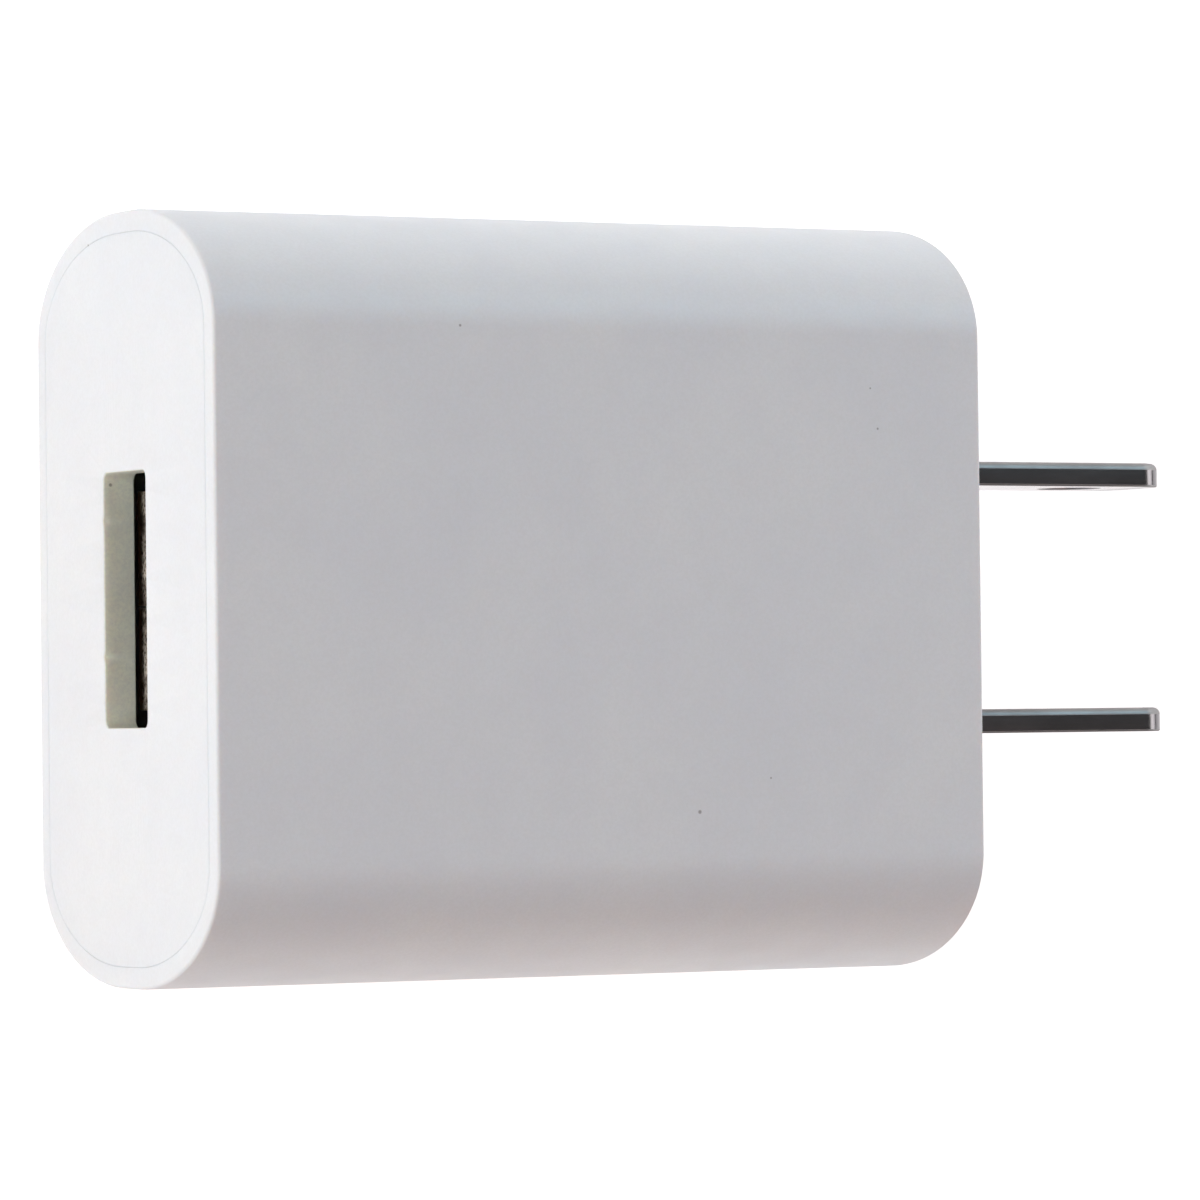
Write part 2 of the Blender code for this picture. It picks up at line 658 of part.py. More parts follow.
def make_input_choke():
    """A coil on a small ferrite spool, standing on its two leads."""
    x = sum(x for x, _ in CHOKE_LEADS) / 2
    spool = [(0, 6.0), (2.1, 6.0), (2.1, 5.2), (1.7, 4.9), (1.7, 1.1), (2.1, 0.8), (2.1, 0), (0, 0)]
    choke = turned("input_choke", spool, 18)
    choke.location = Vector((x, CHOKE_LEADS[0][1], SEAT)) * MM
    join(choke, *(straight_lead(x, y, SEAT + 0.5) for x, y in CHOKE_LEADS))
    paint(smooth(choke), "ferrite")


def make_shunt_regulator():
    """A half-round three-lead package, standing flat side to the front."""
    x_mid, y = REGULATOR_LEADS[1]
    outline = [(x + x_mid, v + y) for x, v in arc((0, 0), (2.2, 1.3), -25, 205, 10)]
    regulator = prism("shunt_regulator", [outline], "Z", SEAT + 1.0, SEAT + 5.0)
    join(regulator, *(straight_lead(x, y + 0.2, SEAT + 1.5) for x, _ in REGULATOR_LEADS))
    paint(smooth(regulator), "black_plastic")


def make_optocoupler():
    """A four-lead package whose flat leads leave its sides and bend down."""
    x_mid = (OPTO_LEADS[0][0] + OPTO_LEADS[1][0]) / 2
    y_front, y_rear = OPTO_LEADS[0][1], OPTO_LEADS[2][1]
    body_x, body_y = (x_mid - 2.3, x_mid + 2.3), (y_front + 0.55, y_rear - 0.55)
    opto = round_edges(block("optocoupler", body_x, body_y, (SEAT + 0.3, SEAT + 3.6)), 0.2, 1)
    for x, y in OPTO_LEADS:
        inward = math.copysign(1, (y_front + y_rear) / 2 - y)
        reach = sorted((y - inward * 0.13, y + inward * 0.9))
        flat = (x - 0.3, x + 0.3)
        join(opto, block("lead", flat, reach, (SEAT + 1.6, SEAT + 1.86)))
        join(opto, block("lead", flat, (y - 0.13, y + 0.13), (LEAD_END, SEAT + 1.7)))
    paint(opto, "black_plastic")


def make_y_capacitor():
    """A lacquered disc standing on edge across the board's isolation gap."""
    (x0, y), (x1, _) = Y_CAPACITOR_LEADS
    disc = cylinder("y_capacitor", ((x0 + x1) / 2, y, SEAT + 4.6), 3.9, 2.6, "Y", 24)
    round_edges(disc, 0.9, 3)
    for x in (x0, x1):
        inside = math.copysign(0.6, (x0 + x1) / 2 - x)
        join(disc, bent_lead([(x + inside, y, SEAT + 3.2), (x, y, SEAT + 1.6), (x, y, LEAD_END)]))
    paint(smooth(disc), "ceramic_blue")


def make_bridge_rectifier():
    body = block("bridge_rectifier", (-5.0, -0.2), (-8.6, -5.0), (SEAT + 0.2, SEAT + 2.6))
    round_edges(body, 0.2, 1)
    for x in (-3.9, -1.3):
        for edge, out in ((-8.6, -0.8), (-5.0, 0.5)):
            foot = sorted((edge - out * 0.5, edge + out))
            join(body, block("foot", (x - 0.35, x + 0.35), foot, (SEAT, SEAT + 0.6)))
    paint(body, "black_plastic")


def surface_part(name, x, y, size, material, feet=False):
    """A small part soldered flat under the board. Chips with feet have a row at each side."""
    width, depth, height = size
    top = BOARD_BOTTOM - GAP
    lift = 0.1 if feet else 0.0
    body_x, body_y = (x - width / 2, x + width / 2), (y - depth / 2, y + depth / 2)
    body = block(name, body_x, body_y, (top - height, top - lift))
    if feet:
        round_edges(body, 0.15, 1)
        count = 4 if width > 4 else 2
        for i in range(count):
            foot_x = x + (i - (count - 1) / 2) * 1.27
            for side in (-1, 1):
                reach = sorted((y + side * (depth / 2 - 0.4), y + side * (depth / 2 + 0.9)))
                join(body, block("foot", (foot_x - 0.2, foot_x + 0.2), reach, (top - 0.45, top)))
    else:
        for side in (-1, 1):
            end = sorted((x + side * (width / 2 - 0.45), x + side * (width / 2 + 0.06)))
            cap_y = (y - depth / 2 - 0.05, y + depth / 2 + 0.05)
            join(body, block("terminal", end, cap_y, (top - height - 0.05, top - 0.02)))
    paint(body, material)


def make_surface_parts():
    """The controller chip, the clamp diode and the chip resistors and capacitors on the solder side."""
    surface_part("switcher_chip", 0.0, -19.0, (4.9, 3.9, 1.6), "black_plastic", feet=True)
    surface_part("clamp_diode", 8.6, -14.5, (4.3, 2.6, 2.1), "black_plastic")
    places = {
        "chip_resistor_clamp": (8.6, -10.4, "resistor_tan"),
        "chip_resistor_sense": (-8.2, -15.2, "resistor_tan"),
        "chip_resistor_start": (-8.2, -11.6, "resistor_tan"),
        "chip_resistor_feedback": (-9.0, -30.4, "resistor_tan"),
        "chip_capacitor_supply": (-6.9, -19.2, "white_chip"),
        "chip_capacitor_clamp": (8.6, -17.9, "white_chip"),
        "chip_capacitor_output": (7.8, -24.6, "white_chip"),
    }
    for name, (x, y, material) in places.items():
        surface_part(name, x, y, (3.1, 1.6, 0.7), material)


# ---------------------------------------------------------------- transformer


def core_outline(side):
    """One E-shaped ferrite half in (x, y). Its back is at the outer end, its legs meet the other half."""
    meet, back = CORE_Y + side * 0.05, CORE_Y + side * CORE_HALF_LENGTH
    floor = back - side * CORE_BACK
    right = [
        (CORE_X, back),
        (CORE_X, meet),
        (CORE_X - CORE_LEG, meet),
        (CORE_X - CORE_LEG, floor),
        (CORE_CENTRE, floor),
        (CORE_CENTRE, meet),
    ]
    return right + [(-x, y) for x, y in right[::-1]]


def make_transformer():
    """Ferrite halves, bobbin, winding and the tape that binds the halves."""
    low, high = CORE_Z - CORE_HALF_HEIGHT, CORE_Z + CORE_HALF_HEIGHT
    for name, side in (("transformer_core_front", -1), ("transformer_core_rear", 1)):
        paint(prism(name, [core_outline(side)], "Z", low, high), "ferrite")

    def ring(half_x, half_z, corner):
        return [(x, z + CORE_Z) for x, z in rounded_outline(2 * half_x, 2 * half_z, (corner, corner), 3)]

    bore = ring(CORE_CENTRE + 0.08, CORE_HALF_HEIGHT + 0.08, 0.05)
    bobbin = prism("transformer_bobbin", [ring(1.95, 3.65, 0.3), bore], "Y", CORE_Y - 4.4, CORE_Y + 4.4)
    for side, pin_y in zip((-1, 1), PIN_Y):
        outer = CORE_Y + side * 4.5
        flange = [ring(4.95, 4.9, 0.6), ring(CORE_CENTRE + 0.1, CORE_HALF_HEIGHT + 0.1, 0.05)]
        join(bobbin, prism("flange", flange, "Y", *sorted((outer, outer - side * 0.8))))
        foot_y = sorted((outer - side * 0.75, pin_y + side * 0.8))
        join(bobbin, block("foot", (-5.6, 5.6), foot_y, (SEAT, low - GAP)))
        join(bobbin, *(straight_lead(x, pin_y, SEAT + 0.5) for x in PIN_X))
    paint(bobbin, "bobbin_black")

    wound = [ring(4.65, 4.6, 0.9), ring(2.0, 3.7, 0.35)]
    paint(smooth(prism("transformer_winding", wound, "Y", CORE_Y - 3.6, CORE_Y + 3.6)), "tape_yellow")

    def band(x, y):
        return [(u, v + CORE_Y) for u, v in rounded_outline(2 * x, 2 * y, (0.1, 0.1), 1)]

    inner = (CORE_X + 0.06, CORE_HALF_LENGTH + 0.06)
    tape = [band(inner[0] + 0.2, inner[1] + 0.2), band(*inner)]
    paint(prism("transformer_tape", tape, "Z", CORE_Z - 1.8, CORE_Z + 1.8), "tape_yellow")


def group_under_empties():
    """Parents the moving springs and everything else to two empties at the object's origin."""
    groups = {name: bpy.data.objects.new(name, None) for name in ("charger", "moving_contacts")}
    for empty in groups.values():
        PARTS.objects.link(empty)
    groups["moving_contacts"].parent = groups["charger"]
    for obj in list(PARTS.objects) + list(HELPERS.objects):
        if obj.type == "MESH":
            moves = obj.name.startswith("usb_contact_spring")
            obj.parent = groups["moving_contacts" if moves else "charger"]


clear_scene()
PARTS = new_collection("usb_wall_charger")
HELPERS = new_collection("cutters")
MATERIALS = make_materials()
make_housing_shell()
make_front_cap()
make_blades()
make_mains_leads()
make_socket_shell()
make_socket_insulator()
make_contacts()
make_board()
make_insulation_sheet()
make_bulk_capacitors()
make_output_capacitors()
axial_part("fuse_resistor", FUSE_LEADS, 1.5, 7.4, "X", "choke_green")
axial_part("output_diode", DIODE_LEADS, 2.0, 5.6, "Y", "black_plastic")
make_input_choke()
make_shunt_regulator()
make_optocoupler()
make_y_capacitor()
make_bridge_rectifier()
make_surface_parts()
make_transformer()
group_under_empties()
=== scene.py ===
"""A white USB wall charger on a pale floor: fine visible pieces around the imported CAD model.

Lengths are in millimetres until the helpers scale them to metres. The frame is the CAD's: the
origin is the centre of the wall face, +Y along the blades, X from blade to blade, +Z up.
"""

import json
import math

import bmesh
import bpy
from mathutils import Matrix, Vector


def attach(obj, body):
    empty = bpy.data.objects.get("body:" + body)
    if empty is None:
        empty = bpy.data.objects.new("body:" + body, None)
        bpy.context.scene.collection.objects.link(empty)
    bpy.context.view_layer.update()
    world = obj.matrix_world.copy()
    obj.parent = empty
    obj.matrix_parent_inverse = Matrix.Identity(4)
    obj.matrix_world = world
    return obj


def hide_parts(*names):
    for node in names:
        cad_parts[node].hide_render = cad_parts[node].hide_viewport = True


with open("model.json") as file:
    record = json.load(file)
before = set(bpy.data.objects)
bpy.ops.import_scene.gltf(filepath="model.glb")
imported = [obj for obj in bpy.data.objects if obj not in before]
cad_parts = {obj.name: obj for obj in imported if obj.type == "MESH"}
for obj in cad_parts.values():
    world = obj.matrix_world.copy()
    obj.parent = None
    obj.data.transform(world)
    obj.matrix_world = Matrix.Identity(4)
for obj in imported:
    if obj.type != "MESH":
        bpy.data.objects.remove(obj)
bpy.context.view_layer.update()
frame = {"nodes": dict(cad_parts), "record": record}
MM = 0.001

# ------------------------------------------------------------------ camera
# It stands above the front edge of the flat side and is rolled, so that the picture's up is -X.
CAMERA_TURN, CAMERA_TILT, CAMERA_ROLL = 28.04, -1.047, -0.643
CAMERA_DISTANCE, CAMERA_LENS, SENSOR_WIDTH = 324.5, 195.36, 36.0
CAMERA_SHIFT = (4.42, -0.04)
CAMERA_CLIP_START = 0.01  # metres
BODY_CENTRE = Vector((0, -21.0, 0))


def turned(a, b, angle):
    """Two axes at right angles, turned together in their plane."""
    c, s = math.cos(angle), math.sin(angle)
    return c * a + s * b, c * b - s * a


def make_camera():
    turn, tilt, roll = (math.radians(a) for a in (CAMERA_TURN, CAMERA_TILT, CAMERA_ROLL))
    back = Vector((0, -math.sin(turn), math.cos(turn)))
    right = Vector((0, math.cos(turn), math.sin(turn)))
    up = back.cross(right)
    back, up = turned(back, up, tilt)
    right, up = turned(right, up, roll)
    across, upwards = CAMERA_SHIFT
    place = BODY_CENTRE + across * right + upwards * up + CAMERA_DISTANCE * back
    data = bpy.data.cameras.new("camera")
    data.sensor_width = SENSOR_WIDTH
    data.lens = CAMERA_LENS
    data.clip_start = CAMERA_CLIP_START
    camera = bpy.data.objects.new("camera", data)
    axes = Matrix((right, up, back)).transposed().to_4x4()
    camera.matrix_world = Matrix.Translation(place * MM) @ axes
    bpy.context.scene.collection.objects.link(camera)
    bpy.context.scene.camera = camera


make_camera()

# ------------------------------------------------------------------ dimensions
# As in the CAD, apart from the blades' thickness
WIDTH, HEIGHT, LENGTH = 37.6, 21.0, 42.0
CORNER_X, CORNER_Z = 6.0, 9.6
FRONT = -LENGTH
WALL, REAR_WALL, RIM = 1.9, 2.0, 1.05
CAP_THICKNESS = 1.5
CAP_BACK = FRONT + CAP_THICKNESS
PORT_WIDTH, PORT_HEIGHT, PORT_CORNER = 12.4, 5.0, 0.4
BLADE_X, BLADE_WIDTH, BLADE_LENGTH = 6.35, 6.35, 16.0
BLADE_THICKNESS = 1.25  # 1.4 in the CAD, which has square edges and looks thicker
BLADE_TIP_CORNER, BLADE_HOLE_AT, BLADE_HOLE_RADIUS = 1.7, 11.8, 1.6
BLADE_ROOT = -2.4  # where a visible blade ends, just inside the rear wall


# ------------------------------------------------------------------ node helpers
class Nodes:
    """A material's node tree, with short calls for the nodes used here."""

    def __init__(self, name):
        self.material = bpy.data.materials.new(name)
        self.material.use_nodes = True
        self.tree = self.material.node_tree
        self.shader = self.tree.nodes["Principled BSDF"]
        self.place = self.add("ShaderNodeTexCoord").outputs["Object"]

    def add(self, kind, links=None, **settings):
        node = self.tree.nodes.new(kind)
        for key, value in settings.items():
            setattr(node, key, value)
        for key, value in (links or {}).items():
            self.feed(node.inputs[key], value)
        return node

    def feed(self, socket, value):
        if isinstance(value, bpy.types.NodeSocket):
            self.tree.links.new(value, socket)
        else:
            socket.default_value = value

    def scaled(self, scale):
        links = {"Vector": self.place, "Scale": scale}
        return self.add("ShaderNodeMapping", links).outputs["Vector"]

    def noise(self, size_mm, detail=3.0, rough=0.5, stretch=(1, 1, 1), offset=0.0):
        """Noise from 0 to 1 whose features are about this many millimetres across."""
        where = self.scaled([1000 / size_mm / s for s in stretch])
        links = {"Vector": where, "Scale": 1.0, "Detail": detail, "Roughness": rough, "W": offset}
        return self.add("ShaderNodeTexNoise", links, noise_dimensions="4D").outputs["Fac"]

    def ramp(self, value, low, high, out_low=0.0, out_high=1.0):
        """A smooth step from out_low to out_high while the value goes from low to high."""
        links = {"Value": value, 1: low, 2: high, 3: out_low, 4: out_high}
        kind = "SMOOTHSTEP"
        return self.add("ShaderNodeMapRange", links, interpolation_type=kind).outputs["Result"]

    def math(self, operation, a, b=0.0):
        return self.add("ShaderNodeMath", {0: a, 1: b}, operation=operation).outputs[0]

    def mix(self, share, a, b):
        """Two colours mixed."""
        node = self.add("ShaderNodeMix", data_type="RGBA")
        for index, value in ((0, share), (6, a), (7, b)):
            if isinstance(value, (tuple, list)) and len(value) == 3:
                value = (*value, 1.0)
            self.feed(node.inputs[index], value)
        return node.outputs[2]

    def bump(self, height, depth_mm, normal=None):
        links = {"Height": height, "Strength": 1.0, "Distance": depth_mm * MM}
        if normal is not None:
            links["Normal"] = normal
        return self.add("ShaderNodeBump", links).outputs["Normal"]

    def finish(self, **values):
        for key, value in values.items():
            if isinstance(value, tuple) and len(value) == 3 and key == "Base Color":
                value = (*value, 1.0)
            self.feed(self.shader.inputs[key.replace("_", " ")], value)
        return self.material


# Dust specks on the broad side and on the cap, as (x, y, z, radius)
SPECKS = (
    (-10.2, -6.3, 10.5, 0.05),
    (10.6, -16.2, 10.5, 0.10),
    (-8.2, -5.9, 10.5, 0.06),
    (9.0, -12.2, 10.5, 0.05),
    (-12.9, -29.0, 10.5, 0.07),
    (-12.6, -41.7, 10.4, 0.06),
    (-17.42, -42.0, -4.02, 0.06),
    (-5.64, -41.6, -2.5, 0.09),
)


def white_plastic(name, light=(0.755, 0.748, 0.765), dark=(0.725, 0.722, 0.755)):
    """Satin moulded plastic: faint mottling, a fine spark-eroded grain and a few specks of dust."""
    n = Nodes(name)
    cloud = n.noise(8.0, 4.0, 0.55)
    base = n.mix(n.ramp(cloud, 0.3, 0.7), dark, light)
    blotch = n.noise(1.9, 3.0, 0.6, offset=3.0)
    base = n.mix(n.ramp(blotch, 0.35, 0.75, 0.0, 0.30), base, (0.70, 0.69, 0.715))
    fine = n.noise(0.16, 2.0, 0.6, offset=9.0)
    base = n.mix(n.ramp(fine, 0.3, 0.7, 0.0, 0.30), base, (0.66, 0.65, 0.66))
    for x, y, z, radius in SPECKS:
        links = {0: n.place, 1: (x * MM, y * MM, z * MM)}
        away = n.add("ShaderNodeVectorMath", links, operation="DISTANCE").outputs["Value"]
        spot = n.ramp(away, 1.3 * radius * MM, 0.5 * radius * MM)
        base = n.mix(n.math("MULTIPLY", spot, 0.6), base, (0.14, 0.11, 0.10))
    grain = n.noise(0.16, 2.0, 0.5)
    wave = n.noise(5.0, 1.0, 0.4, offset=7.0)
    normal = n.bump(wave, 0.012)
    normal = n.bump(grain, 0.006, normal)
    rough = n.ramp(n.noise(2.2, 3.0, offset=1.0), 0.3, 0.7, 0.40, 0.50)
    n.shader.inputs["Subsurface Weight"].default_value = 0.25
    n.shader.inputs["Subsurface Radius"].default_value = (1.0, 0.62, 0.42)
    n.shader.inputs["Subsurface Scale"].default_value = 0.0006
    n.shader.inputs["Specular IOR Level"].default_value = 0.42
    return n.finish(Base_Color=base, Roughness=rough, Normal=normal)


def plated_metal(
    name, light, dark, roughness, along, scratch_mm,
    scratch_depth=0.004, share=0.4, pit_depth=0.004, wear=0.08, painted_shade=None,
):
    """Bright plating over stamped metal: long fine drawing lines, dull patches and small pits.

    along stretches the lines in X, Y and Z; share is how strongly they show in the colour.
    The last argument holds painted shade, as (start, full, colour): the colour deepens to the shade
    colour along Y from the first place to the second, in millimetres.
    """
    n = Nodes(name)
    lines = n.noise(scratch_mm, 3.0, 0.6, stretch=along)
    patch = n.noise(2.4, 4.0, 0.6, offset=2.0)
    base = n.mix(n.ramp(patch, 0.35, 0.7), light, dark)
    base = n.mix(n.ramp(lines, 0.45, 0.60, 0.0, share), base, dark)
    # Painted shade: the colour deepens towards the shade colour along Y, with a ragged edge.
    if painted_shade:
        shade_starts, shade_full, colour = painted_shade
        along_y = n.add("ShaderNodeSeparateXYZ", {"Vector": n.place}).outputs["Y"]
        ragged = n.math("ADD", along_y, n.math("MULTIPLY", lines, 0.12 * MM))
        base = n.mix(n.ramp(ragged, shade_starts * MM, shade_full * MM), base, colour)
    dull = n.ramp(patch, 0.3, 0.7, roughness - 0.6 * wear, roughness + wear)
    rough = n.math("ADD", dull, n.ramp(lines, 0.4, 0.7, 0.0, wear))
    pits = n.noise(0.25, 3.0, 0.6, offset=5.0)
    normal = n.bump(lines, scratch_depth)
    normal = n.bump(pits, pit_depth, normal)
    return n.finish(Base_Color=base, Metallic=1.0, Roughness=rough, Normal=normal)


def moulded(name, light, dark, roughness, grain_mm=0.12, depth_mm=0.004):
    """A plain moulded, coated or sintered surface: two close tones and a fine grain."""
    n = Nodes(name)
    cloud = n.noise(1.6, 4.0, 0.6)
    base = n.mix(n.ramp(cloud, 0.3, 0.7), light, dark)
    grain = n.noise(grain_mm, 3.0, 0.6, offset=4.0)
    rough = n.ramp(grain, 0.3, 0.7, roughness - 0.06, roughness + 0.06)
    return n.finish(Base_Color=base, Roughness=rough, Normal=n.bump(grain, depth_mm))


MATERIALS = {
    "white_plastic": white_plastic("satin_white_plastic"),
    "nickel": plated_metal(
        "plated_blade", (0.52, 0.49, 0.49), (0.50, 0.47, 0.47), 0.20, (1, 9, 1), 0.10,
        scratch_depth=0.0002, share=0.06, pit_depth=0.0002, wear=0.015,
        # Painted shade: the blade darkens where its edge rounds over at the tip, from 14.3 to 15.0
        # mm along Y.
        painted_shade=(14.3, 15.0, (0.20, 0.19, 0.20)),
    ),
    "socket_steel": plated_metal(
        "tinned_steel", (0.72, 0.60, 0.52), (0.05, 0.036, 0.028), 0.34, (4, 1, 1), 0.05,
        # Painted shade: the lips' front darkens from -39.69 mm forward, fully by -39.77 mm, to the
        # dark brown of the shadowed gap behind the cap.
        scratch_depth=0.02, share=0.95, painted_shade=(-39.69, -39.77, (0.110, 0.068, 0.046)),
    ),
    "contact_gold": plated_metal(
        "gilt_bronze", (0.86, 0.63, 0.28), (0.62, 0.40, 0.16), 0.24, (1, 6, 1), 0.04
    ),
    "black_plastic": moulded("black_moulding", (0.018, 0.018, 0.020), (0.030, 0.029, 0.028), 0.42),
    "board_green": moulded(
        "solder_mask", (0.020, 0.120, 0.050), (0.035, 0.170, 0.070), 0.36, 0.3, 0.006
    ),
    "can_sleeve": moulded("capacitor_sleeve", (0.028, 0.034, 0.085), (0.045, 0.052, 0.120), 0.32),
    "ferrite": moulded("ferrite", (0.050, 0.050, 0.055), (0.085, 0.082, 0.085), 0.62, 0.10, 0.010),
    "tape_yellow": moulded(
        "polyester_tape", (0.80, 0.56, 0.06), (0.90, 0.68, 0.12), 0.34, 0.5, 0.010
    ),
    "bobbin_black": moulded("phenolic", (0.020, 0.019, 0.020), (0.040, 0.036, 0.034), 0.50),
    "ceramic_blue": moulded(
        "epoxy_blue", (0.030, 0.160, 0.380), (0.050, 0.220, 0.460), 0.36, 0.4, 0.010
    ),
    "resistor_tan": moulded("chip_ceramic", (0.50, 0.40, 0.27), (0.58, 0.48, 0.34), 0.55),
    "white_chip": moulded("chip_pale", (0.60, 0.57, 0.53), (0.68, 0.66, 0.62), 0.50),
    "choke_green": moulded("green_lacquer", (0.05, 0.20, 0.09), (0.08, 0.27, 0.13), 0.40),
    "lead_red": moulded("red_insulation", (0.40, 0.02, 0.02), (0.50, 0.04, 0.03), 0.42),
    "lead_black": moulded("black_insulation", (0.018, 0.018, 0.018), (0.035, 0.035, 0.035), 0.42),
    "insulation_film": moulded("polyester_film", (0.70, 0.70, 0.64), (0.76, 0.76, 0.71), 0.35),
}
# Painted light: a brighter, warmer copy of the white plastic for the port's recessed inner walls.
PORT_WALL_PAINTED_LIGHT = white_plastic("port_wall_painted_light", (0.98, 0.96, 0.83), (0.97, 0.95, 0.81))
# Painted shade: a darker, rougher copy of the blade plating for the blades' rounded edges.
EDGE_PAINTED_SHADE = plated_metal(
    "edge_painted_shade_plating", (0.34, 0.33, 0.33), (0.28, 0.27, 0.27), 0.50, (1, 9, 1), 0.10,
    scratch_depth=0.0005, share=0.10, pit_depth=0.0005, wear=0.03,
)


def finish_cad_nodes():
    """Every CAD node takes the procedural material of its slot."""
    for entry in frame["record"]["subparts"]:
        obj = frame["nodes"][entry["node"]]
        obj.data.materials.clear()
        obj.data.materials.append(MATERIALS[entry["material_slot"]])


finish_cad_nodes()


# ------------------------------------------------------------------ mesh helpers
MERGE_DISTANCE = 1e-7  # metres
SMOOTH_ANGLE = 32  # degrees; edges that turn more stay sharp
FLAT_ENOUGH = 0.9999  # the least part of a normal along an axis that counts as exactly along it


def quarter_turn(steps):
    """Sine and cosine at even steps from 0 to 90 degrees."""
    for step in range(steps + 1):
        angle = math.radians(90 * step / steps)
        yield math.sin(angle), math.cos(angle)


def rounded_ring(width, height, radii, inset, corner_steps, side_steps):
    """Points (x, z) round a rectangle with elliptical corners, moved in along its normals."""
    x, z = width / 2 - radii[0], height / 2 - radii[1]
    corners = ((x, z), (-x, z), (-x, -z), (x, -z))
    ring = []
    for turn, (cx, cz) in enumerate(corners):
        for step in range(corner_steps + 1):
            angle = math.radians(90 * (turn + step / corner_steps))
            c, s = math.cos(angle), math.sin(angle)
            normal = Vector((c / radii[0], s / radii[1])).normalized()
            ring.append(Vector((cx + radii[0] * c, cz + radii[1] * s)) - normal * inset)
        last = ring[-1]
        nx, nz = corners[(turn + 1) % 4]
        angle = math.radians(90 * (turn + 1))
        c, s = math.cos(angle), math.sin(angle)
        target = Vector((nx + radii[0] * c, nz + radii[1] * s))
        target -= Vector((c, s)).normalized() * inset
        for step in range(1, side_steps):
            ring.append(last.lerp(target, step / side_steps))
    return ring


def link(obj):
    bpy.context.scene.collection.objects.link(obj)
    return obj


def make_object(name, bm):
    """An object in the scene with this mesh, which is used up."""
    mesh = bpy.data.meshes.new(name)
    bm.to_mesh(mesh)
    bm.free()
    return link(bpy.data.objects.new(name, mesh))


def add_points(bm, points):
    return [bm.verts.new((x * MM, y * MM, z * MM)) for x, y, z in points]


def merge_and_orient(bm):
    """Joins points that coincide and turns every face outwards."""
    bmesh.ops.remove_doubles(bm, verts=bm.verts, dist=MERGE_DISTANCE)
    bmesh.ops.recalc_face_normals(bm, faces=bm.faces)


def loft(name, rings):
    """A surface through rings of equal count, capped at both ends."""
    bm = bmesh.new()
    rows = [add_points(bm, ring) for ring in rings]
    count = len(rows[0])
    for a, b in zip(rows, rows[1:]):
        for i in range(count):
            j = (i + 1) % count
            bm.faces.new((a[i], a[j], b[j], b[i]))
    bm.faces.new(rows[0][::-1])
    bm.faces.new(rows[-1])
    merge_and_orient(bm)
    return make_object(name, bm)


def plate_between(name, outer_rings, inner_rings):
    """A flat plate with a hole: edge rings outside and inside, with a filled front and back."""
    bm = bmesh.new()
    sides = []
    for rings in (outer_rings, inner_rings):
        rows = [add_points(bm, ring) for ring in rings]
        for a, b in zip(rows, rows[1:]):
            for i in range(len(a)):
                bm.faces.new((a[i - 1], a[i], b[i], b[i - 1]))
        sides.append(rows)
    outer, inner = sides
    for loops in ((outer[-1], inner[0]), (outer[0], inner[-1])):
        pairs = [(loop[i - 1], loop[i]) for loop in loops for i in range(len(loop))]
        edges = [bm.edges.get(pair) for pair in pairs]
        bmesh.ops.triangle_fill(bm, use_beauty=True, use_dissolve=False, edges=edges)
    merge_and_orient(bm)
    return make_object(name, bm)


def box(name, x, y, z):
    """A box between these limits, each a pair of low and high."""
    bm = bmesh.new()
    bmesh.ops.create_cube(bm, size=MM)
    for v in bm.verts:
        for axis, (low, high) in enumerate((x, y, z)):
            v.co[axis] = v.co[axis] * (high - low) + (high + low) / 2 * MM
    return make_object(name, bm)


def cut(obj, *tools):
    """Boolean cuts, applied, with the tools removed."""
    for tool in tools:
        modifier = obj.modifiers.new("cut", "BOOLEAN")
        modifier.operation = "DIFFERENCE"
        modifier.object = tool
    apply_modifiers(obj)
    for tool in tools:
        bpy.data.objects.remove(tool)


def apply_modifiers(obj):
    bpy.context.view_layer.update()
    evaluated = obj.evaluated_get(bpy.context.evaluated_depsgraph_get())
    mesh = bpy.data.meshes.new_from_object(evaluated)
    obj.modifiers.clear()
    obj.data = mesh


def part_flats(obj, axis):
    """Marks the edges round the faces that look exactly along an axis as sharp."""
    bm = bmesh.new()
    bm.from_mesh(obj.data)
    for edge in bm.edges:
        flats = [abs(face.normal[axis]) > FLAT_ENOUGH for face in edge.link_faces]
        if any(flats) and not all(flats):
            edge.smooth = False
    bm.to_mesh(obj.data)
    bm.free()


def dress(obj, slot, body, nodes, angle=SMOOTH_ANGLE, flat_axis=None):
    """Material, shading and place in the frame of one finished visible piece."""
    obj.data.materials.clear()
    obj.data.materials.append(MATERIALS[slot])
    obj.data.shade_smooth()
    obj.data.set_sharp_from_angle(angle=math.radians(angle))
    if flat_axis is not None:
        part_flats(obj, flat_axis)
    flat = obj.modifiers.new("flat_faces_stay_flat", "WEIGHTED_NORMAL")
    flat.keep_sharp = True
    apply_modifiers(obj)
    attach(obj, body)
    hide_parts(*nodes)


# ------------------------------------------------------------------ housing
CORNER_STEPS, SIDE_STEPS = 36, 12
EDGE, REAR_EDGE, EDGE_STEPS = 0.18, 0.12, 6
SEAM_EDGE, SEAM_DEPTH, SEAM_GAP, SEAM_STEPS = 0.07, 0.026, 0.0045, 3
REBATE_FLOOR = CAP_BACK + 0.1  # just behind the inset plate
SLEEVE_RINGS = (0.1, 0.3, 0.5, 0.7, 0.9)  # shares of the length, from the front
SLOT_CLEARANCE, SLOT_ENDS = 0.06, (-6, 1)


def housing_ring(y, inset):
    """The body's outline at y, moved in."""
    corner = (CORNER_X, CORNER_Z)
    ring = rounded_ring(WIDTH, HEIGHT, corner, inset, CORNER_STEPS, SIDE_STEPS)
    return [(p.x, y, p.y) for p in ring]


